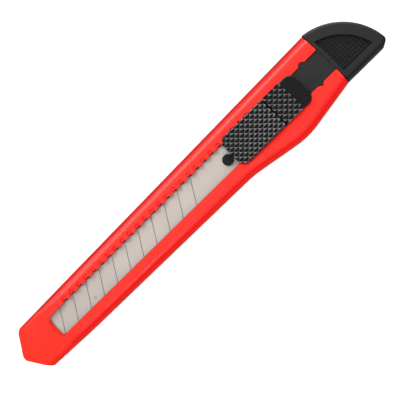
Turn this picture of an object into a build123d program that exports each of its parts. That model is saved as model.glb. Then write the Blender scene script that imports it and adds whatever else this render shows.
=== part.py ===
from build123d import *
import math
import os

# Snap-off knife for standard 9 mm blades, in millimetres. X runs along the knife with the nose at +X,
# Y across it with the cutting edge at +Y, and Z out of the slider's face. The origin is under the middle
# of the knife, on the face that it lies on. In the functions below, "along" is a distance back from the
# nose tip, "across" is a distance from the blade's centre line towards its cutting edge, and "up" is Z.

# Handle
LENGTH = 130.2  # nose tip to the end of the cap
BODY_LENGTH = 115.0  # the red moulding alone
THICKNESS = 6.4  # handle and cap
NOSE_POINT = (-0.15, -0.2)  # along and across, where the nose's sides would meet without their rounding
SHOULDER = 4.45  # where the pointed nose meets the long sides
SHOULDER_ROUNDING = (1.0, 0.4)  # the spine side's shoulder and the belly side's
NOSE_ROUNDING = 0.6
TAPER_ALONG = 20.0  # the sides draw in a little more from here to the shoulder
SPINE_OUT = (7.8, 8.17, 10.28)  # how far out the spine side lies at the shoulder, there and at the rear end
BELLY_OUT = (6.25, 6.78, 7.65)  # the same for the belly side
TAPER_RADIUS = 150.0
FLARE_ALONG, FLARE_OUT, FLARE_RADIUS = 79.8, 7.5, 35.0
CREST_ALONG, CREST_OUT, CREST_RADIUS = 97.5, 10.55, 24.0
TOP_ROUNDING = 3.1  # long edges beside the slider
BASE_ROUNDING = 2.6  # long edges of the face it lies on
NOSE_FACET_ALONG = 14.0  # the nose's top is a flat facet that falls towards the tip
NOSE_FACET_DROP = 0.8
NOSE_LIFT = 1.2  # the nose's underside rises this far to the tip

# Blade channel: an upper slot for the blade, a lower one for its carrier, and a window with lips above
LIP_UNDERSIDE = 5.5
NOSE_ROOF = 5.3  # the slot is lower inside the nose
NOSE_ROOF_ALONG = 12.0
LEDGE = 4.72  # floor of the upper slot, which the blade's edges slide on
SLOT_HALF = 4.75
TROUGH_FLOOR = 1.35
TROUGH_HALF = 3.7
TROUGH_FRONT = 12.9
WINDOW_FRONT = 12.6
WINDOW_SPINE = (-3.55, -4.3)  # across, the spine side edge at the window's front and at the rear end
WINDOW_BELLY = (2.84, 3.1)
WINDOW_CORNER = 1.2
WINDOW_CHAMFER = 0.6

# Ratchet in the spine side lip: half round notches above a thin straight ledge
NOTCH_PITCH = 2.8
NOTCH_FIRST = 19.5
NOTCH_COUNT = 26
NOTCH_RADIUS = 0.75
NOTCH_INSET = 0.65  # from the window's edge to the centre of a notch
NOTCH_FLOOR = 5.85
NOTCH_HOOK = 0.3  # each notch's front end also undercuts the ledge by this much

# Blade
BLADE_LENGTH = 75.0  # an 80 mm blade with its first segment snapped off
BLADE_WIDTH = 9.0
BLADE_THICKNESS = 0.38
BLADE_UNDERSIDE = 4.82
BLADE_TIP = 7.06  # how far the point lies inside the nose
SEGMENT = 5.0
SEGMENT_SLANT = 0.577  # forward run of a score line for each millimetre towards the cutting edge
SCORE_COUNT = 11
SCORE_DEPTH = 0.13
SCORE_HALF_WIDTH = 0.14
GRIND_WIDTH = 1.7  # the ground bevel along the cutting edge
GRIND_EDGE = 0.04  # thickness left at the edge
STUD_ALONG = 77.6
STUD_RADIUS = 1.35
STUD_HEAD_RADIUS = 1.6
STUD_HEAD_UP = 5.95
STUD_DISH_RADIUS = 3.2  # ball whose dent makes the head's dished top
STUD_DISH = 0.3
STUD_HEAD_GAP = 0.05  # above the blade
STUD_HEAD_ROUNDING = 0.15
HOLE_CLEARANCE = 0.1
TAIL_CORNER = 1.0

# Slider: carrier under the blade, thumb pad on it, and the lock slide behind it
CARRIER_FRONT, CARRIER_REAR = 75.2, 105.0
CARRIER_HALF = 3.45
CARRIER_CORNER = 1.0
CARRIER_UNDERSIDE = 1.65
CARRIER_UNDER_BLADE = 4.77
FLANGE_FRONT = 83.0
FLANGE_HALF = 4.55
FLANGE_UNDERSIDE = 4.82
FLANGE_TOP = 5.35
NECK_SIDE = 0.15  # across, the neck's guiding face beside the wedge finger
NECK_EDGES = (-3.4, 2.75)  # across
NECK_FRONT_LENGTH = 2.1
NECK_REAR_INSET = 0.3
PAD_UNDERSIDE = 6.6
PAD_TOP = 9.3
PAD_EDGES = (-4.72, 4.9)  # across
PAD_FRONT, PAD_REAR = 79.1, 94.75
PAD_CORNER = 2.4
PAD_SHELF = (0.35, 0.6)  # a low shelf under the gap before the lock: its reach and its height
PAD_DIP = 0.35  # how far the thumb pad's hollow lies below its ends
PAD_PIN_RADIUS = 0.8
PAD_PIN_ACROSS = 1.45
PAD_PIN_ALONG = (84.6, 92.6)
PAD_PIN_LENGTH = 1.1
PAD_PIN_END_GAP = 0.1
PRESS_GAP = 0.02

LOCK_GAP = 0.5
SEAM_CORNER = 0.2  # corners of both pads beside the gap
LOCK_REAR = 105.4
LOCK_TRAVEL = 2.4
LOCK_TOP = 8.9
LOCK_CORNER = 2.0
KEEL_FRONT, KEEL_REAR = 97.2, 102.0
KEEL_HALF = 1.1
KEEL_FOOT_HALF = 1.9
KEEL_FOOT_TOP, KEEL_FOOT_UNDERSIDE = 4.1, 2.9
KEEL_CLEARANCE = 0.15
FINGER_FAR = 0.0  # across, the face that the neck guides
FINGER_UNDERSIDE, FINGER_TOP = 5.55, 6.4
FINGER_TIP = 87.2
FINGER_ROUNDING = 0.3

# Detent pawl: an arm that turns about a pin behind its tooth
PAWL_PIVOT_ALONG, PAWL_PIVOT_ACROSS = 93.6, -2.7
PAWL_EYE_RADIUS = 0.8
PAWL_PIN_RADIUS = 0.42
PAWL_BORE_RADIUS = 0.47
PAWL_ARM = (-2.5, -1.85)  # across, at rest
PAWL_UNDERSIDE, PAWL_TOP = 5.45, 6.4
PAWL_BUMP_ALONG = 90.6
PAWL_BUMP_ACROSS = -1.3
PAWL_BUMP_RADIUS = 0.35
TOOTH_NOTCH = 24  # which notch the tooth stands beside when the blade is drawn in
TOOTH_REACH = 0.93
TOOTH_LEAD = 0.08  # the tooth swings back this far as it enters its notch
TOOTH_WIDTH = 0.8
TOOTH_UNDERSIDE, TOOTH_TOP = 5.95, 6.35
RAMP_RISE = 0.36  # how far the wedge pushes the bump over the lock's travel
RAMP_CLEARANCE = 0.05

# End cap with its tongue
CAP_GAP = 0.25
CAP_ARC_ALONG, CAP_ARC_ACROSS, CAP_ARC_RADIUS = 113.2, 6.83, 17.0
CAP_BELLY_HALF = 7.3
CAP_CORNER = 1.5
CAP_ROUNDING = 0.9
RECESS_FRONT = 116.1
RECESS_BELLY = 4.86
RECESS_ARC_ALONG, RECESS_ARC_ACROSS, RECESS_ARC_RADIUS = 112.4, 7.75, 14.5
RECESS_DEPTH = 0.8
TONGUE_FRONT = 106.2
TONGUE_LIP_FRONT = 105.35  # its top reaches further forward, over the carrier's rear end
TONGUE_EDGES = (-4.1, 2.9)  # across
TONGUE_TOP = 6.15
TONGUE_LIP_UNDERSIDE = 5.5
TONGUE_UNDERSIDE = 1.6
BARB_ALONG = 109.4
BARB_RADIUS = 0.8
BARB_V = 0.9  # height of the belly side's pointed barb
BARB_V_HALF = 1.05
BARB_UNDERSIDE = 5.6
BARB_CLEARANCE = 0.25

BEYOND = 5.0  # how far a cutting shape runs past the face that it cuts
SINK = 1.0  # how far a shape that is joined to another is sunk into it


def spot(along, across):
    """Turn a place on the knife into X and Y."""
    return (LENGTH / 2 - along, across)


def block(along, across, up):
    """A box between two places along, two across and two up."""
    size = [span[1] - span[0] for span in (along, across, up)]
    x, y = spot(sum(along) / 2, sum(across) / 2)
    return Pos(x, y, sum(up) / 2) * Box(*size)


def post(along, across, radius, up):
    """An upright cylinder."""
    x, y = spot(along, across)
    return Pos(x, y, sum(up) / 2) * Cylinder(radius, up[1] - up[0])


def slab(corners, up):
    """An upright prism whose corners are (along, across, rounding)."""
    points = [spot(along, across) for along, across, _ in corners]
    rim = FilletPolyline(*points, radius=[rounding for *_, rounding in corners], close=True)
    return Pos(0, 0, up[0]) * extrude(make_face(rim), up[1] - up[0], dir=(0, 0, 1))


def window_edge(ends, along):
    """Where one of the window's edges lies: it widens a little towards the rear."""
    share = (along - WINDOW_FRONT) / (BODY_LENGTH - WINDOW_FRONT)
    return ends[0] + share * (ends[1] - ends[0])


def notch_along(index):
    return NOTCH_FIRST + index * NOTCH_PITCH


def edges_at(solid, up):
    """The edges that lie flat at one height."""
    boxes = [(edge, edge.bounding_box()) for edge in solid.edges()]
    return [edge for edge, box in boxes if abs(box.min.Z - up) + abs(box.max.Z - up) < 0.01]


def handle_plan(front_corners, past):
    """The handle's outline seen from above, closed by the given front corners, its rear end moved back."""
    spine_slope = (SPINE_OUT[2] - SPINE_OUT[1]) / (BODY_LENGTH - TAPER_ALONG)
    belly_slope = (BELLY_OUT[2] - CREST_OUT) / (BODY_LENGTH - CREST_ALONG)
    rear = BODY_LENGTH + past
    corners = [
        *front_corners,
        (TAPER_ALONG, BELLY_OUT[1], TAPER_RADIUS),
        (FLARE_ALONG, FLARE_OUT, FLARE_RADIUS),
        (CREST_ALONG, CREST_OUT, CREST_RADIUS),
        (rear, BELLY_OUT[2] + past * belly_slope, 0),
        (rear, -SPINE_OUT[2] - past * spine_slope, 0),
        (TAPER_ALONG, -SPINE_OUT[1], TAPER_RADIUS),
    ]
    return slab(corners, (0, THICKNESS))


def nose_facet(height, change, away):
    """A wedge that planes the nose flat from one height, moving up or down by the change at the tip."""
    angle = math.degrees(math.atan(change / NOSE_FACET_ALONG))
    x, y = spot(NOSE_FACET_ALONG, 0)
    wedge = Box(4 * BEYOND, 4 * SPINE_OUT[2], 2 * BEYOND)
    return Pos(x, y, height) * Rot(0, -angle, 0) * Pos(2 * BEYOND, 0, away * BEYOND) * wedge


def handle_body():
    """The red moulding. Long edges are well rounded, and the pointed nose is crisp."""
    reach = BEYOND / (TAPER_ALONG - SHOULDER)
    spine, belly = (out[0] - reach * (out[1] - out[0]) for out in (SPINE_OUT, BELLY_OUT))
    front = SHOULDER - BEYOND
    bar = handle_plan([(front, -spine, 0), (front, belly, 0)], BEYOND)
    bar = fillet(edges_at(bar, THICKNESS), TOP_ROUNDING)
    bar = fillet(edges_at(bar, 0), BASE_ROUNDING)
    nose = [
        (SHOULDER, -SPINE_OUT[0], SHOULDER_ROUNDING[0]),
        (*NOSE_POINT, NOSE_ROUNDING),
        (SHOULDER, BELLY_OUT[0], SHOULDER_ROUNDING[1]),
    ]
    body = bar & handle_plan(nose, 0)
    body -= nose_facet(THICKNESS, -NOSE_FACET_DROP, 1)
    body -= nose_facet(0, NOSE_LIFT, -1)

    rear = BODY_LENGTH + BEYOND
    body -= block((-BEYOND, rear), (-SLOT_HALF, SLOT_HALF), (LEDGE, NOSE_ROOF))
    body -= block((NOSE_ROOF_ALONG, rear), (-SLOT_HALF, SLOT_HALF), (LEDGE, LIP_UNDERSIDE))
    body -= block((TROUGH_FRONT, rear), (-TROUGH_HALF, TROUGH_HALF), (TROUGH_FLOOR, LIP_UNDERSIDE))
    body -= window_opening(rear)
    for index in range(NOTCH_COUNT):
        body -= ratchet_notch(index)
    body -= barb_shape(BARB_CLEARANCE, (LIP_UNDERSIDE, THICKNESS + BEYOND))
    return body


def window_opening(rear):
    """The long window through the lips, open at the rear and sloped at its front end."""
    edges = [(WINDOW_FRONT, rear, ends) for ends in (WINDOW_SPINE, WINDOW_BELLY)]
    (front, back, spine), (_, _, belly) = edges
    corners = [
        (front, spine[0], WINDOW_CORNER),
        (front, belly[0], WINDOW_CORNER),
        (back, window_edge(belly, rear), 0),
        (back, window_edge(spine, rear), 0),
    ]
    opening = slab(corners, (LIP_UNDERSIDE - WINDOW_CHAMFER, THICKNESS + BEYOND))
    lip = THICKNESS - LIP_UNDERSIDE
    slope = [
        (front - WINDOW_CHAMFER, spine[0] + WINDOW_CORNER, 0.4),
        (front - WINDOW_CHAMFER, belly[0] - WINDOW_CORNER, 0.4),
        (front + 1, belly[0] - WINDOW_CORNER, 0),
        (front + 1, spine[0] + WINDOW_CORNER, 0),
    ]
    return opening + slab(slope, (THICKNESS - lip / 2, THICKNESS + BEYOND))


def ratchet_notch(index):
    """One notch: a half round with straight sides running out to the window."""
    along = notch_along(index)
    edge = window_edge(WINDOW_SPINE, along)
    up = (NOTCH_FLOOR, THICKNESS + BEYOND)
    centre = edge - NOTCH_INSET
    mouth = block((along - NOTCH_RADIUS, along + NOTCH_RADIUS), (centre, edge + NOTCH_RADIUS), up)
    hook = [
        (along - NOTCH_RADIUS, edge - NOTCH_HOOK, 0),
        (along + NOTCH_RADIUS, edge, 0),
        (along + NOTCH_RADIUS, edge + NOTCH_RADIUS, 0),
        (along - NOTCH_RADIUS, edge + NOTCH_RADIUS, 0),
    ]
    return post(along, centre, NOTCH_RADIUS, up) + mouth + slab(hook, (LEDGE, THICKNESS))


def barb_shape(clearance, up):
    """Both barbs, or with a clearance the recesses that they snap into."""
    spine, belly = TONGUE_EDGES
    rounded = post(BARB_ALONG, spine, BARB_RADIUS + clearance, up)
    rounded &= block((BARB_ALONG - BEYOND, BARB_ALONG + BEYOND), (spine - BEYOND, spine), up)
    half, height = BARB_V_HALF + clearance, BARB_V + clearance
    pointed = [
        (BARB_ALONG - half, belly, 0),
        (BARB_ALONG + half, belly, 0),
        (BARB_ALONG, belly + height, 0.15),
    ]
    return rounded + slab(pointed, up)


def blade():
    """The segmented blade: a slanted front, a hole for the stud, a ground edge and V shaped score lines."""
    half = BLADE_WIDTH / 2
    rear = BLADE_TIP + BLADE_LENGTH
    top = BLADE_UNDERSIDE + BLADE_THICKNESS
    strip = slab(
        [
            (BLADE_TIP, half, 0),
            (BLADE_TIP + BLADE_WIDTH * SEGMENT_SLANT, -half, 0),
            (rear, -half, TAIL_CORNER),
            (rear, half, TAIL_CORNER),
        ],
        (BLADE_UNDERSIDE, top),
    )
    strip -= post(STUD_ALONG, 0, STUD_RADIUS + HOLE_CLEARANCE, (BLADE_UNDERSIDE - 1, top + 1))

    grind_drop = (BLADE_THICKNESS - GRIND_EDGE) / 2
    x_mid, y_edge = spot((BLADE_TIP + rear) / 2, half)
    for face, away in ((top, 1), (BLADE_UNDERSIDE, -1)):
        wedge = Plane.YZ * make_face(
            Polyline(
                (y_edge - GRIND_WIDTH, face),
                (y_edge, face - away * grind_drop),
                (y_edge + 1, face - away * grind_drop),
                (y_edge + 1, face + away),
                (y_edge - GRIND_WIDTH, face + away),
                close=True,
            )
        )
        strip -= Pos(x_mid, 0, 0) * extrude(wedge, BLADE_LENGTH, both=True)

    slant = math.degrees(math.atan(SEGMENT_SLANT))
    for index in range(SCORE_COUNT):
        along = BLADE_TIP + half * SEGMENT_SLANT + (index + 1) * SEGMENT
        x, y = spot(along, 0)
        groove = Plane.XZ * make_face(
            Polyline(
                (-SCORE_HALF_WIDTH, 0), (SCORE_HALF_WIDTH, 0), (0, -SCORE_DEPTH), close=True
            )
        )
        groove = extrude(groove, BLADE_WIDTH, both=True)
        strip -= Pos(x, y, top) * Rot(0, 0, -slant) * groove
    return strip


def blade_carrier():
    """The carrier: a keel in the trough, a stud for the blade, and a flange held under the lips."""
    keel_across = (-CARRIER_HALF, CARRIER_HALF)
    keel = block((CARRIER_FRONT, CARRIER_REAR), keel_across, (CARRIER_UNDERSIDE, CARRIER_UNDER_BLADE))
    keel = fillet(keel.edges().filter_by(Axis.Z).group_by(Axis.X)[-1], CARRIER_CORNER)
    behind_blade = (FLANGE_FRONT, CARRIER_REAR)
    flange = block(behind_blade, (-FLANGE_HALF, FLANGE_HALF), (FLANGE_UNDERSIDE, FLANGE_TOP))
    core = block(behind_blade, keel_across, (CARRIER_UNDER_BLADE, FLANGE_TOP))
    carrier = keel + flange + core

    carrier += post(STUD_ALONG, 0, STUD_RADIUS, (CARRIER_UNDER_BLADE, STUD_HEAD_UP))
    head_up = (BLADE_UNDERSIDE + BLADE_THICKNESS + STUD_HEAD_GAP, STUD_HEAD_UP)
    head = post(STUD_ALONG, 0, STUD_HEAD_RADIUS, head_up)
    x, y = spot(STUD_ALONG, 0)
    dish = Pos(x, y, STUD_HEAD_UP + STUD_DISH_RADIUS - STUD_DISH) * Sphere(STUD_DISH_RADIUS)
    carrier += fillet(edges_at(head, STUD_HEAD_UP), STUD_HEAD_ROUNDING) - dish

    neck_up = (FLANGE_TOP, PAD_UNDERSIDE)
    spine, belly = NECK_EDGES
    neck = block((FLANGE_FRONT, PAD_REAR - NECK_REAR_INSET), (NECK_SIDE, belly), neck_up)
    neck += block((FLANGE_FRONT, FLANGE_FRONT + NECK_FRONT_LENGTH), (spine, NECK_SIDE), neck_up)
    socket_up = (PAD_UNDERSIDE - PAD_PIN_LENGTH - PAD_PIN_END_GAP, PAD_UNDERSIDE)
    for along in PAD_PIN_ALONG:
        neck -= post(along, PAD_PIN_ACROSS, PAD_PIN_RADIUS + PRESS_GAP, socket_up)
    carrier += neck
    carrier += post(PAWL_PIVOT_ALONG, PAWL_PIVOT_ACROSS, PAWL_PIN_RADIUS, (FLANGE_TOP, PAWL_TOP + 0.1))

    slot = (KEEL_FRONT - 0.3, CARRIER_REAR + BEYOND)
    narrow = KEEL_HALF + KEEL_CLEARANCE
    wide = KEEL_FOOT_HALF + KEEL_CLEARANCE
    foot_up = (KEEL_FOOT_UNDERSIDE - KEEL_CLEARANCE, KEEL_FOOT_TOP + KEEL_CLEARANCE)
    carrier -= block(slot, (-narrow, narrow), (KEEL_FOOT_UNDERSIDE, FLANGE_TOP + BEYOND))
    carrier -= block(slot, (-wide, wide), foot_up)
    return carrier


def pad_block(front, rear, corners, top):
    """A plain pad above the lips with rounded corners: (front corner, rear corner)."""
    front_corner, rear_corner = corners
    spine, belly = PAD_EDGES
    rim = [
        (front, spine, front_corner),
        (front, belly, front_corner),
        (rear, belly, rear_corner),
        (rear, spine, rear_corner),
    ]
    return slab(rim, (PAD_UNDERSIDE, top))


def thumb_pad():
    """The front pad: its top is a shallow hollow for the thumb, and two pins hold it on the carrier."""
    pad = pad_block(PAD_FRONT, PAD_REAR, (PAD_CORNER, SEAM_CORNER), PAD_TOP)
    half_length = (PAD_REAR - PAD_FRONT) / 2
    radius = (half_length**2 + PAD_DIP**2) / (2 * PAD_DIP)
    x, y = spot(PAD_FRONT + half_length, 0)
    hollow = Pos(x, y, PAD_TOP - PAD_DIP + radius) * Rot(90, 0, 0) * Cylinder(radius, 4 * BLADE_WIDTH)
    pad -= hollow
    reach, height = PAD_SHELF
    pad += block((PAD_REAR - reach, PAD_REAR + reach), PAD_EDGES, (PAD_UNDERSIDE, PAD_UNDERSIDE + height))
    pin_up = (PAD_UNDERSIDE - PAD_PIN_LENGTH, PAD_UNDERSIDE + SINK)
    for along in PAD_PIN_ALONG:
        pad += post(along, PAD_PIN_ACROSS, PAD_PIN_RADIUS, pin_up)
    return pad


def lock_slide():
    """The rear pad with its T shaped keel and the wedge finger that reaches under the thumb pad."""
    front = PAD_REAR + LOCK_GAP
    slide = pad_block(front, LOCK_REAR, (SEAM_CORNER, LOCK_CORNER), LOCK_TOP)
    slide += block((KEEL_FRONT, KEEL_REAR), (-KEEL_HALF, KEEL_HALF), (KEEL_FOOT_UNDERSIDE, PAD_UNDERSIDE))
    foot = (KEEL_FOOT_UNDERSIDE, KEEL_FOOT_TOP)
    slide += block((KEEL_FRONT, KEEL_REAR), (-KEEL_FOOT_HALF, KEEL_FOOT_HALF), foot)

    near, far = PAWL_BUMP_ACROSS + RAMP_CLEARANCE, FINGER_FAR
    ramp_start = PAWL_BUMP_ALONG - LOCK_TRAVEL
    finger = [
        (KEEL_FRONT + SINK, near, 0),
        (PAWL_BUMP_ALONG, near, 0),
        (ramp_start, near - RAMP_RISE, 0),
        (FINGER_TIP, near - RAMP_RISE, FINGER_ROUNDING),
        (FINGER_TIP, far, FINGER_ROUNDING),
        (KEEL_FRONT + SINK, far, 0),
    ]
    slide += slab(finger, (FINGER_UNDERSIDE, FINGER_TOP))
    slide += block((front + SEAM_CORNER, KEEL_FRONT + SINK), (near, far), (FINGER_UNDERSIDE, PAD_UNDERSIDE))
    return slide


def detent_pawl():
    """The pawl: an eye on the carrier's pin, an arm, a bump for the wedge and the tooth at its front."""
    outer, inner = PAWL_ARM
    up = (PAWL_UNDERSIDE, PAWL_TOP)
    tooth_along = notch_along(TOOTH_NOTCH) - TOOTH_LEAD
    arm_front = tooth_along - TOOTH_WIDTH / 2
    pawl = block((arm_front, PAWL_PIVOT_ALONG), (outer, inner), up)
    pawl += post(PAWL_PIVOT_ALONG, PAWL_PIVOT_ACROSS, PAWL_EYE_RADIUS, up)
    pawl += post(PAWL_BUMP_ALONG, PAWL_BUMP_ACROSS - PAWL_BUMP_RADIUS, PAWL_BUMP_RADIUS, up)
    bump_root = (PAWL_BUMP_ALONG - PAWL_BUMP_RADIUS, PAWL_BUMP_ALONG + PAWL_BUMP_RADIUS)
    pawl += block(bump_root, (inner - 0.1, PAWL_BUMP_ACROSS - PAWL_BUMP_RADIUS), up)
    tooth_span = (tooth_along - TOOTH_WIDTH / 2, tooth_along + TOOTH_WIDTH / 2)
    pawl += block(tooth_span, (outer - TOOTH_REACH, outer), (TOOTH_UNDERSIDE, TOOTH_TOP))
    pawl -= post(PAWL_PIVOT_ALONG, PAWL_PIVOT_ACROSS, PAWL_BORE_RADIUS, (up[0] - 1, up[1] + 1))
    return pawl


def end_cap():
    """The cap: a quarter round end with a D shaped recess, and a tongue that plugs the handle's rear."""
    x, y = spot(CAP_ARC_ALONG, CAP_ARC_ACROSS)
    disc = Pos(x, y) * Circle(CAP_ARC_RADIUS)
    reach = CAP_ARC_RADIUS * 2
    x, y = spot(BODY_LENGTH + CAP_GAP + reach / 2, CAP_BELLY_HALF - reach / 2)
    face = disc & Pos(x, y) * Rectangle(reach, reach)
    corner = face.vertices().sort_by(lambda v: v.Y - v.X)[-1]
    face = fillet(corner, CAP_CORNER)
    cap = extrude(face, THICKNESS, dir=(0, 0, 1))
    front_x = spot(BODY_LENGTH + CAP_GAP, 0)[0]
    for up in (THICKNESS, 0):
        rim = [e for e in edges_at(cap, up) if e.bounding_box().min.X < front_x - 0.1]
        cap = fillet(rim, CAP_ROUNDING)

    x, y = spot(RECESS_ARC_ALONG, RECESS_ARC_ACROSS)
    x_box, y_box = spot(RECESS_FRONT + reach / 2, RECESS_BELLY - reach / 2)
    recess = Pos(x, y) * Circle(RECESS_ARC_RADIUS) & Pos(x_box, y_box) * Rectangle(reach, reach)
    cap -= Pos(0, 0, THICKNESS - RECESS_DEPTH) * extrude(recess, BEYOND, dir=(0, 0, 1))

    tongue = (TONGUE_FRONT, BODY_LENGTH + CAP_GAP + SINK)
    cap += block((TONGUE_LIP_FRONT, tongue[1]), TONGUE_EDGES, (TONGUE_LIP_UNDERSIDE, TONGUE_TOP))
    cap += block(tongue, TONGUE_EDGES, (FLANGE_UNDERSIDE, TONGUE_TOP))
    cap += block(tongue, (-CARRIER_HALF, CARRIER_HALF), (TONGUE_UNDERSIDE, FLANGE_UNDERSIDE))
    flange = (TONGUE_FRONT, BODY_LENGTH + CAP_GAP)
    cap += block(flange, (-FLANGE_HALF, FLANGE_HALF), (FLANGE_UNDERSIDE, FLANGE_TOP))
    return cap


def snap_barbs():
    """The tongue's two barbs, which squeeze in as the cap is pulled off."""
    return barb_shape(0, (BARB_UNDERSIDE, TONGUE_TOP))


os.makedirs("parts", exist_ok=True)
for piece in (handle_body, blade, blade_carrier, thumb_pad, lock_slide, detent_pawl, end_cap, snap_barbs):
    export_step(piece(), f"parts/{piece.__name__}.step")
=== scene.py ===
import math

import bmesh
import bpy
from mathutils import Matrix, Vector


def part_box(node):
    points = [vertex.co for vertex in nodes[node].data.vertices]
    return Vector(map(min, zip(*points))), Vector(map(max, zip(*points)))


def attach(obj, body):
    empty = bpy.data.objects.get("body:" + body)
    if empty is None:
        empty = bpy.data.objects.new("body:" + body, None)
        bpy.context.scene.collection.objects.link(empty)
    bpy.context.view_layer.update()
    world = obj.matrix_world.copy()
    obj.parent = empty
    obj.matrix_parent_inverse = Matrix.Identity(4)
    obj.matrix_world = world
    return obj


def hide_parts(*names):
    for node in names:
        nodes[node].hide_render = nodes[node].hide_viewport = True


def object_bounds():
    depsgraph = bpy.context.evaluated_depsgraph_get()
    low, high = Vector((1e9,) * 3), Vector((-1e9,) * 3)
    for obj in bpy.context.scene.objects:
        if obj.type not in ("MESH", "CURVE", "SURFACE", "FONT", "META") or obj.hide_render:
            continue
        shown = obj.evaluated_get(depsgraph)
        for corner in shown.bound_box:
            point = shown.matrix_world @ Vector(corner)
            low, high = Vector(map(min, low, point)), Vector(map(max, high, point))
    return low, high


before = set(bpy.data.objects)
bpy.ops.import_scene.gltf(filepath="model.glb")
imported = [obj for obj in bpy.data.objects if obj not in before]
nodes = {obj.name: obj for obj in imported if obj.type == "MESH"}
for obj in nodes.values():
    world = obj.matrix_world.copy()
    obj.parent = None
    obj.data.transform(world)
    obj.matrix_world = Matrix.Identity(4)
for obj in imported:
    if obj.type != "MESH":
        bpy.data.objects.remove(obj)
cad_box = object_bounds()
MM = 0.001
WELD = 0.001 * MM
nose_tip = cad_box[1].x


# Handle: one long red moulding that lies flat, with a blade window between two lips and a ratchet in one lip.
# It is injection moulded in glossy ABS. The steel core that forms the blade channel is drawn out at the rear.
class Wire:
    """A value in a material. Sums on wires add Math nodes, and node() adds any other node."""

    def __init__(self, tree, socket=None):
        self.tree = tree
        self.socket = socket

    def feed(self, socket, value):
        if isinstance(value, Wire):
            self.tree.links.new(value.socket, socket)
        else:
            socket.default_value = value

    def node(self, kind, settings, inputs, output=0):
        """Add a node by its type, its settings, and the values or wires of its sockets."""
        made = self.tree.nodes.new("ShaderNode" + kind)
        for name, value in settings.items():
            setattr(made, name, value)
        for name, value in inputs.items():
            self.feed(made.inputs[name], value)
        return Wire(self.tree, made.outputs[output])

    def maths(self, operation, *values):
        return self.node("Math", {"operation": operation}, dict(enumerate(values)))

    def __add__(self, other):
        return self.maths("ADD", self, other)

    def __sub__(self, other):
        return self.maths("SUBTRACT", self, other)

    def __rsub__(self, other):
        return self.maths("SUBTRACT", other, self)

    def __mul__(self, other):
        return self.maths("MULTIPLY", self, other)

    def __truediv__(self, other):
        return self.maths("DIVIDE", self, other)

    __radd__ = __add__
    __rmul__ = __mul__

    def size(self):
        return self.maths("ABSOLUTE", self)

    def to_nearest(self, pitch):
        """Distance to the nearest whole number of pitches."""
        return self.maths("PINGPONG", self, pitch / 2)

    def clear_step(self, low, high):
        """0 below low, 1 above high, and a smooth rise between them."""
        limits = {"From Min": low, "From Max": high, "Value": self}
        return self.node("MapRange", {"interpolation_type": "SMOOTHSTEP"}, limits)

    def noise(self, scale, detail=2.0, stretch=(1, 1, 1)):
        """Noise on the piece's own coordinates, about 0.5, with a number of waves for each metre."""
        placed = self.node("Mapping", {}, {"Vector": self, "Scale": stretch})
        return placed.node("TexNoise", {}, {"Vector": placed, "Scale": scale, "Detail": detail})

    def mix(self, first, second):
        """Two colours mixed by this value."""
        inputs = {0: self, 6: first, 7: second}
        return self.node("Mix", {"data_type": "RGBA"}, inputs, output=2)


def start_material(name, **shader):
    """A material whose shader has some sockets set, with a wire for the piece's own coordinates."""
    material = bpy.data.materials.new(name)
    material.use_nodes = True
    tree = material.node_tree
    surface = tree.nodes["Principled BSDF"]
    for socket, value in shader.items():
        surface.inputs[socket.replace("_", " ")].default_value = value
    place = Wire(tree).node("TexCoord", {}, {}, output="Object")
    return material, surface, place


def bumps(surface, height, distance, strength=1.0):
    """Let a height wire stand out of the surface by up to a distance."""
    inputs = {"Height": height, "Distance": distance, "Strength": strength}
    height.feed(surface.inputs["Normal"], height.node("Bump", {}, inputs))


def add_piece(name, bm, material, body, slot, *replaced):
    """Turn a bmesh into a piece that rides a body and stands for the CAD nodes that it replaces."""
    mesh = bpy.data.meshes.new(name)
    bm.to_mesh(mesh)
    bm.free()
    piece = bpy.data.objects.new(name, mesh)
    bpy.context.scene.collection.objects.link(piece)
    piece.data.materials.append(material)
    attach(piece, body)
    if replaced:
        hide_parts(*replaced)
    return piece


def eased(node, name, material, body, slot, easing):
    """A piece with a CAD node's exact shape, shaded smoothly, with its sharp edges eased as if moulded."""
    bm = bmesh.new()
    bm.from_mesh(nodes[node].data)
    bmesh.ops.remove_doubles(bm, verts=bm.verts, dist=WELD)
    bmesh.ops.dissolve_limit(bm, angle_limit=math.radians(0.5), verts=bm.verts, edges=bm.edges)
    for face in bm.faces:
        face.smooth = True
    piece = add_piece(name, bm, material, body, slot, node)
    piece.data.set_sharp_from_angle(angle=math.radians(32))
    rounded = piece.modifiers.new("eased edges", "BEVEL")
    rounded.width = easing
    rounded.segments = 2
    rounded.limit_method = "ANGLE"
    rounded.angle_limit = math.radians(40)
    even = piece.modifiers.new("flat faces stay flat", "WEIGHTED_NORMAL")
    even.keep_sharp = True
    return piece


red, surface, place = start_material("red_abs", IOR=1.5)
flow = place.noise(70, detail=2, stretch=(0.35, 1, 1))
haze = place.noise(900, detail=3)
x = place.node("SeparateXYZ", {}, {"Vector": place}, output="X") / MM
y = place.node("SeparateXYZ", {}, {"Vector": place}, output="Y") / MM
z = place.node("SeparateXYZ", {}, {"Vector": place}, output="Z") / MM
WINDOW_FRONT, WINDOW_LENGTH, WINDOW_MIDDLE = 12.6, 102.4, -0.35
BELLY_EDGE, BELLY_SPREAD, SPINE_EDGE, SPINE_SPREAD = 2.84, 0.26, -3.55, -0.75
NOTCH_FIRST, NOTCH_PITCH, STROKE_BEHIND = 19.5, 2.8, 0.1
LIP_LEVEL, POCKET_LEVEL = 5.0, 6.15
LIGHT_RED, WARM_RED, POCKET_SHADE_RED = (0.93, 0.011, 0.004, 1), (0.96, 0.019, 0.006, 1), (0.7, 0.002, 0.004, 1)
EDGE_SHADE_RED, STROKE_SHADE_BLACK = (0.22, 0.002, 0.003, 1), (0.010, 0.001, 0.001, 1)
along = nose_tip / MM - x
share = (along - WINDOW_FRONT) / WINDOW_LENGTH
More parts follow.
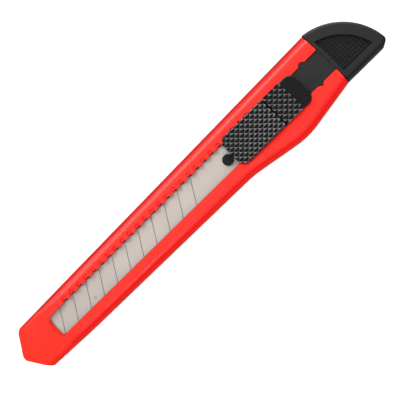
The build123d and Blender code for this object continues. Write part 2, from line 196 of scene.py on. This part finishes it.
inside = along.clear_step(WINDOW_FRONT - 0.3, WINDOW_FRONT + 0.3)
on_lips = z.clear_step(LIP_LEVEL - 0.1, LIP_LEVEL + 0.1)
from_belly_edge = (y - BELLY_EDGE - share * BELLY_SPREAD).size()
from_spine_edge = (y - SPINE_EDGE - share * SPINE_SPREAD).size()
to_notch = (along - NOTCH_FIRST - STROKE_BEHIND).to_nearest(NOTCH_PITCH)
# Painted shade: a thin dark red line along both window edges, where the lips' walls are in shade.
edge_shade_line = (1 - from_belly_edge.clear_step(0.05, 0.3)) + (1 - from_spine_edge.clear_step(0.02, 0.22))
# Painted shade: a near-black stroke on the spine edge at each ratchet notch, where the notch's wall is in
# shade.
notch_shade_stroke = (1 - from_spine_edge.clear_step(0.35, 0.6)) * (1 - to_notch.clear_step(0.5, 0.85))
sunk = 1 - z.clear_step(POCKET_LEVEL - 0.1, POCKET_LEVEL + 0.1)
between_corners = 1 - (y - WINDOW_MIDDLE).size().clear_step(2.6, 3.4)
# Painted shade: a darker red band on the sloped front wall of the window.
front_wall_shade = (1 - inside) * along.clear_step(WINDOW_FRONT - 0.7, WINDOW_FRONT - 0.2)
clean_red = flow.mix(LIGHT_RED, WARM_RED)
# Painted shade: the pockets and the window walls below the pocket level are painted a deeper red.
pocket_shaded_red = (on_lips * inside * sunk * 0.7).mix(clean_red, POCKET_SHADE_RED)
# The painted shade on the window edges and front wall is mixed into the red here.
edge_and_front_shade = on_lips * inside * edge_shade_line * 0.75 + front_wall_shade * between_corners * 0.7
shade_lined_red = edge_and_front_shade.mix(pocket_shaded_red, EDGE_SHADE_RED)
# The painted notch shade strokes are mixed into the red here.
full_red = (on_lips * inside * sunk * notch_shade_stroke * 0.95).mix(shade_lined_red, STROKE_SHADE_BLACK)
flow.feed(surface.inputs["Base Color"], full_red)
flow.feed(surface.inputs["Roughness"], 0.24 + flow * 0.06 + haze * 0.03)
bumps(surface, flow + haze * 0.03, 0.012 * MM)
eased("handle_body", "handle_moulding", red, "handle", "handle_plastic", 0.1 * MM)


# Blade: a strip of satin carbon steel 9 mm wide, ground along its cutting edge and scored across every 5 mm.
# Each score line is a fine pressed groove, so that a worn length snaps off; its root is painted dark as
# shade.
steel, surface, place = start_material("satin_steel")
SEGMENT, SLANT, BLADE_HALF, LAST_LINE = 5.0, 0.577, 4.5, 10
PALE_STEEL, WARM_STEEL = (0.67, 0.595, 0.55, 1), (0.59, 0.53, 0.49, 1)
ROOT_SHADE_DARK, RUST_BROWN = (0.09, 0.085, 0.075, 1), (0.24, 0.12, 0.09, 1)
RUST_X, RUST_Y = nose_tip / MM - 25.9, 1.25
point_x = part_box("blade")[1].x / MM - SLANT * BLADE_HALF
x = place.node("SeparateXYZ", {}, {"Vector": place}, output="X") / MM
y = place.node("SeparateXYZ", {}, {"Vector": place}, output="Y") / MM
turns = (point_x - x + y * SLANT) / SEGMENT - 1
beside_line = turns.to_nearest(1) * SEGMENT
scored = turns.clear_step(-0.3, -0.2) * (1 - turns.clear_step(LAST_LINE + 0.2, LAST_LINE + 0.3))
# Painted shade: the root of each score line is painted dark and less metallic.
score_root_shade = scored * (1 - beside_line.clear_step(0.05, 0.12))
grain = place.noise(2600, detail=3, stretch=(1, 0.05, 1))
cloud = place.noise(120, detail=2)
from_rust = (x - RUST_X) * (x - RUST_X) + (y - RUST_Y) * (y - RUST_Y)
blotch = place.noise(1700, detail=3)
rust = (1 - (from_rust + blotch * 1.1).clear_step(0.35, 0.95)) * 0.5
rusted = rust.mix(cloud.mix(WARM_STEEL, PALE_STEEL), RUST_BROWN)
# The painted shade in the score roots is mixed into the steel colour here.
cloud.feed(surface.inputs["Base Color"], (score_root_shade * 0.85).mix(rusted, ROOT_SHADE_DARK))
cloud.feed(surface.inputs["Metallic"], 0.62 - score_root_shade * 0.4)
cloud.feed(surface.inputs["Roughness"], 0.36 + grain * 0.14 + cloud * 0.05)
bumps(surface, grain, 0.004 * MM)
nodes["blade"].data.materials.clear()
nodes["blade"].data.materials.append(steel)


# Blade carrier and detent pawl: the slider's hidden half, black nylon under the lips, with a dished stud that
# holds the blade by its hole and a little arm whose tooth engages the ratchet. Both are injection moulded.
nylon, surface, place = start_material("black_nylon", IOR=1.5)
haze = place.noise(1500, detail=3)
DEEP_NYLON, WORN_NYLON = (0.006, 0.006, 0.006, 1), (0.012, 0.012, 0.012, 1)
haze.feed(surface.inputs["Base Color"], haze.mix(DEEP_NYLON, WORN_NYLON))
haze.feed(surface.inputs["Roughness"], 0.18 + haze * 0.12)
bumps(surface, haze, 0.01 * MM)
eased("blade_carrier", "carrier_moulding", nylon, "slider", "slider_plastic", 0.08 * MM)
eased("detent_pawl", "pawl_arm", nylon, "pawl", "slider_plastic", 0.05 * MM)


# Thumb pad: the front half of the slider, a knurled block with two pins pressed into the carrier's neck.
# Its top is a shallow hollow covered with sharp pyramids in rows at 45 degrees, cut off at the block's edges.
def rounded_plate(rear, front, sides, roundings, z):
    """A flat plate with one rounding at its two rear corners and another at its two front corners."""
    bm = bmesh.new()
    corners = [(rear, sides[0]), (front, sides[0]), (front, sides[1]), (rear, sides[1])]
    points = [bm.verts.new((x, y, z)) for x, y in corners]
    bm.faces.new(points)
    for point, (x, _) in zip(points, corners):
        rounding = roundings[0] if x == rear else roundings[1]
        bmesh.ops.bevel(
            bm, geom=[point], offset=rounding, segments=8, profile=0.5, affect="VERTICES", material=-1
        )
    return bm


def pyramids(plate, pitch, height, turn):
    """Cover a plate's outline with rows of pyramids whose peaks are at the plate's height."""
    plate.faces.ensure_lookup_table()
    outline = plate.faces[0]
    centre = outline.calc_center_median()
    top = centre.z - height
    reach = max((v.co - centre).length for v in plate.verts)
    rows = 2 * math.ceil(reach / pitch)
    field = bmesh.new()
    place = Matrix.Translation((centre.x, centre.y, top)) @ Matrix.Rotation(turn, 4, "Z")
    bmesh.ops.create_grid(field, x_segments=rows, y_segments=rows, size=rows * pitch / 2, matrix=place)
    bmesh.ops.poke(field, faces=field.faces, offset=height, center_mode="MEAN")
    for edge in outline.edges:
        start, end = (v.co for v in edge.verts)
        away = (end - start).cross(Vector((0, 0, 1))).normalized()
        if away.dot(start - centre) < 0:
            away.negate()
        everything = field.verts[:] + field.edges[:] + field.faces[:]
        bmesh.ops.bisect_plane(
            field, geom=everything, dist=WELD, plane_co=start, plane_no=away, clear_outer=True
        )
    return field


def close_down(field, underside):
    """Wall an open surface down to a flat underside."""
    rim = [edge for edge in field.edges if edge.is_boundary]
    walls = bmesh.ops.extrude_edge_only(field, edges=rim)
    for vert in (item for item in walls["geom"] if isinstance(item, bmesh.types.BMVert)):
        vert.co.z = underside
    open_edges = [edge for edge in field.edges if edge.is_boundary]
    bmesh.ops.holes_fill(field, edges=open_edges, sides=0)
    bmesh.ops.recalc_face_normals(field, faces=field.faces)


def add_bar(bm, low, high):
    """Add a box between two corners, in metres."""
    size = Vector(high) - Vector(low)
    middle = (Vector(high) + Vector(low)) / 2
    place = Matrix.Translation(middle) @ Matrix.Diagonal((*size, 1))
    bmesh.ops.create_cube(bm, size=1, matrix=place)


low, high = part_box("thumb_pad")
PIN_ALONG, PIN_ACROSS, PIN_RADIUS = (84.6, 92.6), 1.45 * MM, 0.8 * MM
PIN_LENGTH, PIN_SINK = 1.1 * MM, 0.4 * MM
SHELF_REACH, SHELF_HEIGHT, SHELF_TUCK = 0.35 * MM, 0.6 * MM, 0.1 * MM
PAD_ROUNDINGS, PAD_PITCH, PAD_KNURL, HOLLOW = (0.2 * MM, 2.4 * MM), 1.27 * MM, 0.42 * MM, 0.35 * MM
pad_rear = low.x + SHELF_REACH
pad_plate = rounded_plate(pad_rear, high.x, (low.y, high.y), PAD_ROUNDINGS, high.z)
pad = pyramids(pad_plate, PAD_PITCH, PAD_KNURL, math.radians(45))
middle_x = (pad_rear + high.x) / 2
for vert in pad.verts:
    from_middle = (vert.co.x - middle_x) / (high.x - middle_x)
    vert.co.z -= HOLLOW * (1 - from_middle * from_middle)
underside = low.z + PIN_LENGTH
close_down(pad, underside)
shelf_rear = (low.x - SHELF_TUCK, low.y, underside)
add_bar(pad, shelf_rear, (pad_rear + SHELF_REACH, high.y, underside + SHELF_HEIGHT))
for pin_along in PIN_ALONG:
    pin_middle = underside - (PIN_LENGTH - PIN_SINK) / 2
    place = Matrix.Translation((nose_tip - pin_along * MM, PIN_ACROSS, pin_middle))
    bmesh.ops.create_cone(
        pad, cap_ends=True, segments=32, radius1=PIN_RADIUS, radius2=PIN_RADIUS,
        depth=PIN_LENGTH + PIN_SINK, matrix=place,
    )
black, surface, place = start_material("black_abs", IOR=1.62)
haze = place.noise(1100, detail=3)
DEEP_BLACK, WARM_BLACK = (0.003, 0.003, 0.003, 1), (0.006, 0.005, 0.005, 1)
haze.feed(surface.inputs["Base Color"], haze.mix(DEEP_BLACK, WARM_BLACK))
haze.feed(surface.inputs["Roughness"], 0.2 + haze * 0.12)
bumps(surface, haze, 0.008 * MM)
add_piece("knurled_thumb_pad", pad, black, "slider", "slider_plastic", "thumb_pad")


# Lock slide: the slider's rear half, which slides back on its keel and drives a wedge behind the pawl.
# It is moulded in the same black plastic, knurled in front and smooth behind, with a faint chevron.
low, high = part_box("lock_slide")
lock_front, knurl_rear = nose_tip - 95.25 * MM, nose_tip - 101.3 * MM
LOCK_UNDERSIDE, SMOOTH_DROP, SMOOTH_EASING = 6.6 * MM, 0.4 * MM, 0.25 * MM
SMOOTH_ROUNDINGS, KNURL_ROUNDINGS = (2.0 * MM, 0.2 * MM), (0.3 * MM, 0.2 * MM)
LOCK_PITCH, LOCK_KNURL, KNURL_DEPTH = 1.36 * MM, 0.45 * MM, 0.9 * MM
smooth_top = high.z - SMOOTH_DROP
lock = rounded_plate(low.x, lock_front, (low.y, high.y), SMOOTH_ROUNDINGS, smooth_top)
raised = bmesh.ops.extrude_face_region(lock, geom=lock.faces[:])
for vert in (item for item in raised["geom"] if isinstance(item, bmesh.types.BMVert)):
    vert.co.z = LOCK_UNDERSIDE
bmesh.ops.recalc_face_normals(lock, faces=lock.faces)
rim = [edge for edge in lock.edges if all(abs(vert.co.z - smooth_top) < WELD for vert in edge.verts)]
bmesh.ops.bevel(
    lock, geom=rim, offset=SMOOTH_EASING, segments=3, profile=0.5, affect="EDGES", material=-1
)
keel_rear, keel_front = nose_tip - 102.0 * MM, nose_tip - 97.2 * MM
KEEL_HALF, KEEL_TOP, FOOT_HALF, FOOT_TOP = 1.1 * MM, 6.8 * MM, 1.9 * MM, 4.1 * MM
FINGER_SPINE, FINGER_UNDERSIDE, FINGER_TOP, FINGER_ROOT = -1.25 * MM, 5.55 * MM, 6.4 * MM, 1.0 * MM
add_bar(lock, (keel_rear, -KEEL_HALF, low.z), (keel_front, KEEL_HALF, KEEL_TOP))
add_bar(lock, (keel_rear, -FOOT_HALF, low.z), (keel_front, FOOT_HALF, FOOT_TOP))
add_bar(lock, (keel_front - FINGER_ROOT, FINGER_SPINE, FINGER_UNDERSIDE), (high.x, 0, FINGER_TOP))
CHEVRON_ALONG, CHEVRON_ACROSS, CHEVRON_TURN = 103.4, 0.75, math.radians(55)
CHEVRON_ARM = (0.3 * MM, 1.8 * MM, 0.1 * MM)
for side in (-1, 1):
    centre = (nose_tip - CHEVRON_ALONG * MM, side * CHEVRON_ACROSS * MM, smooth_top)
    arm = Matrix.Translation(centre) @ Matrix.Rotation(side * CHEVRON_TURN, 4, "Z")
    bmesh.ops.create_cube(lock, size=1, matrix=arm @ Matrix.Diagonal((*CHEVRON_ARM, 1)))
knurl_plate = rounded_plate(knurl_rear, lock_front, (low.y, high.y), KNURL_ROUNDINGS, high.z)
knurl = pyramids(knurl_plate, LOCK_PITCH, LOCK_KNURL, math.radians(45))
close_down(knurl, high.z - KNURL_DEPTH)
knurl_mesh = bpy.data.meshes.new("lock knurl")
knurl.to_mesh(knurl_mesh)
knurl.free()
lock.from_mesh(knurl_mesh)
add_piece("knurled_lock_slide", lock, black, "lock", "slider_plastic", "lock_slide")


# End cap: a black quarter-round plug whose tongue fills the rear of the window and snaps into both lips.
# It is injection moulded in satin ABS, with a grip patch of square pyramids sunk in a recess.
satin, surface, place = start_material("satin_black_abs", IOR=1.5)
haze = place.noise(1400, detail=3)
patches = place.noise(160, detail=2)
DEEP_SATIN, PALE_SATIN = (0.007, 0.007, 0.007, 1), (0.012, 0.012, 0.012, 1)
haze.feed(surface.inputs["Base Color"], patches.mix(DEEP_SATIN, PALE_SATIN))
haze.feed(surface.inputs["Roughness"], 0.36 + haze * 0.1 + patches * 0.06)
bumps(surface, haze, 0.012 * MM)
eased("end_cap", "cap_moulding", satin, "cap", "cap_plastic", 0.1 * MM)
nodes["snap_barbs"].data.materials.clear()
nodes["snap_barbs"].data.materials.append(satin)
recess_front, recess_belly = nose_tip - 116.1 * MM, 4.86 * MM
ARC_RADIUS, RECESS_FLOOR, GRIP_GAP, GRIP_SINK = 14.5 * MM, 5.6 * MM, 0.05 * MM, 0.1 * MM
GRIP_PITCH, GRIP_HEIGHT = 1.0 * MM, 0.42 * MM
arc_centre = (nose_tip - 112.4 * MM, 7.75 * MM, RECESS_FLOOR + GRIP_HEIGHT)
grip_plate = bmesh.new()
at_arc = Matrix.Translation(arc_centre)
bmesh.ops.create_circle(grip_plate, cap_ends=True, segments=96, radius=ARC_RADIUS - GRIP_GAP, matrix=at_arc)
for point, away in (
    ((recess_front - GRIP_GAP, 0, 0), (1, 0, 0)),
    ((0, recess_belly - GRIP_GAP, 0), (0, 1, 0)),
):
    everything = grip_plate.verts[:] + grip_plate.edges[:] + grip_plate.faces[:]
    bmesh.ops.bisect_plane(grip_plate, geom=everything, plane_co=point, plane_no=away, clear_outer=True)
grip = pyramids(grip_plate, GRIP_PITCH, GRIP_HEIGHT, 0)
close_down(grip, RECESS_FLOOR - GRIP_SINK)
add_piece("cap_grip_patch", grip, satin, "cap", "cap_plastic")


# Setting: a white table that glows a little, under soft light from above and from both sides of the knife.
# Other lights only show as gloss: two long ones on the spine side, two low ones at 45 degrees for the
# knurls and a strip on the belly side. The camera looks almost straight down, a little from the belly side.
floor_material, surface, place = start_material("white_table", Roughness=0.8)
speck = place.noise(60, detail=2)
TABLE_HALF, TABLE_DROP = 1.5, 0.05 * MM
OFF_WHITE, WHITE = (0.90, 0.90, 0.90, 1), (0.93, 0.93, 0.93, 1)
speck.feed(surface.inputs["Base Color"], speck.mix(OFF_WHITE, WHITE))
surface.inputs["Emission Color"].default_value = (1, 1, 1, 1)
surface.inputs["Emission Strength"].default_value = 0.3
top = bmesh.new()
below_knife = Matrix.Translation((0, 0, -TABLE_DROP))
bmesh.ops.create_grid(top, x_segments=1, y_segments=1, size=TABLE_HALF, matrix=below_knife)
table_mesh = bpy.data.meshes.new("table")
top.to_mesh(table_mesh)
top.free()
table = bpy.data.objects.new("table", table_mesh)
table.data.materials.append(floor_material)
bpy.context.scene.collection.objects.link(table)
table.visible_glossy = False
table.visible_diffuse = False

world = bpy.data.worlds.new("studio")
world.use_nodes = True
world.node_tree.nodes["Background"].inputs["Color"].default_value = (1, 1, 1, 1)
world.node_tree.nodes["Background"].inputs["Strength"].default_value = 0.14
bpy.context.scene.world = world


def add_softbox(name, stand, aim, size, power, kind):
    """An area light at one point aimed at another, in metres, that gives only "gloss" or only "fill"."""
    light = bpy.data.lights.new(name, "AREA")
    light.shape = "RECTANGLE"
    light.size, light.size_y = size
    light.energy = power
    lamp = bpy.data.objects.new(name, light)
    aim_line = Vector(aim) - Vector(stand)
    lamp.matrix_world = Matrix.Translation(stand) @ aim_line.to_track_quat("-Z", "Y").to_matrix().to_4x4()
    lamp.visible_glossy = kind == "gloss"
    lamp.visible_diffuse = kind == "fill"
    bpy.context.scene.collection.objects.link(lamp)


add_softbox("spine_window", (-0.10, -0.29, 0.30), (-0.10, 0, 0), (0.58, 0.14), 1.15, "gloss")
add_softbox("spine_rim", (-0.13, -0.41, 0.10), (-0.13, 0, 0), (0.66, 0.22), 0.35, "gloss")
add_softbox("knurl_front", (0.38, -0.40, 0.16), (-0.02, 0, 0), (0.24, 0.18), 0.7, "gloss")
add_softbox("knurl_rear", (-0.42, -0.40, 0.16), (-0.03, 0, 0), (0.24, 0.18), 0.7, "gloss")
add_softbox("belly_strip", (0.085, 0.315, 0.25), (0, 0, 0), (0.045, 0.03), 0.06, "gloss")
add_softbox("spine_fill", (0, -0.39, 0.33), (0, 0, 0), (0.6, 0.4), 1.5, "fill")
add_softbox("belly_fill", (0, 0.39, 0.33), (0, 0, 0), (0.6, 0.4), 1.8, "fill")
add_softbox("sky_fill", (0, 0, 0.6), (0, 0, 0), (0.6, 0.6), 3.2, "fill")

EYE_MM, TILT, LEAN, TWIST = (-5.76, 39.305, 214.68), 10.0, 1.702, 224.301
turn = (
    Matrix.Rotation(math.radians(-LEAN), 4, "Y")
    @ Matrix.Rotation(math.radians(-TILT), 4, "X")
    @ Matrix.Rotation(math.radians(-TWIST), 4, "Z")
)
camera = bpy.data.objects.new("camera", bpy.data.cameras.new("camera"))
camera.data.sensor_width = 36
camera.data.lens = 71.05
camera.data.clip_start = 0.01
camera.matrix_world = Matrix.Translation(Vector(EYE_MM) * MM) @ turn
bpy.context.scene.collection.objects.link(camera)
bpy.context.scene.camera = camera
bpy.context.scene.view_settings.view_transform = "Standard"
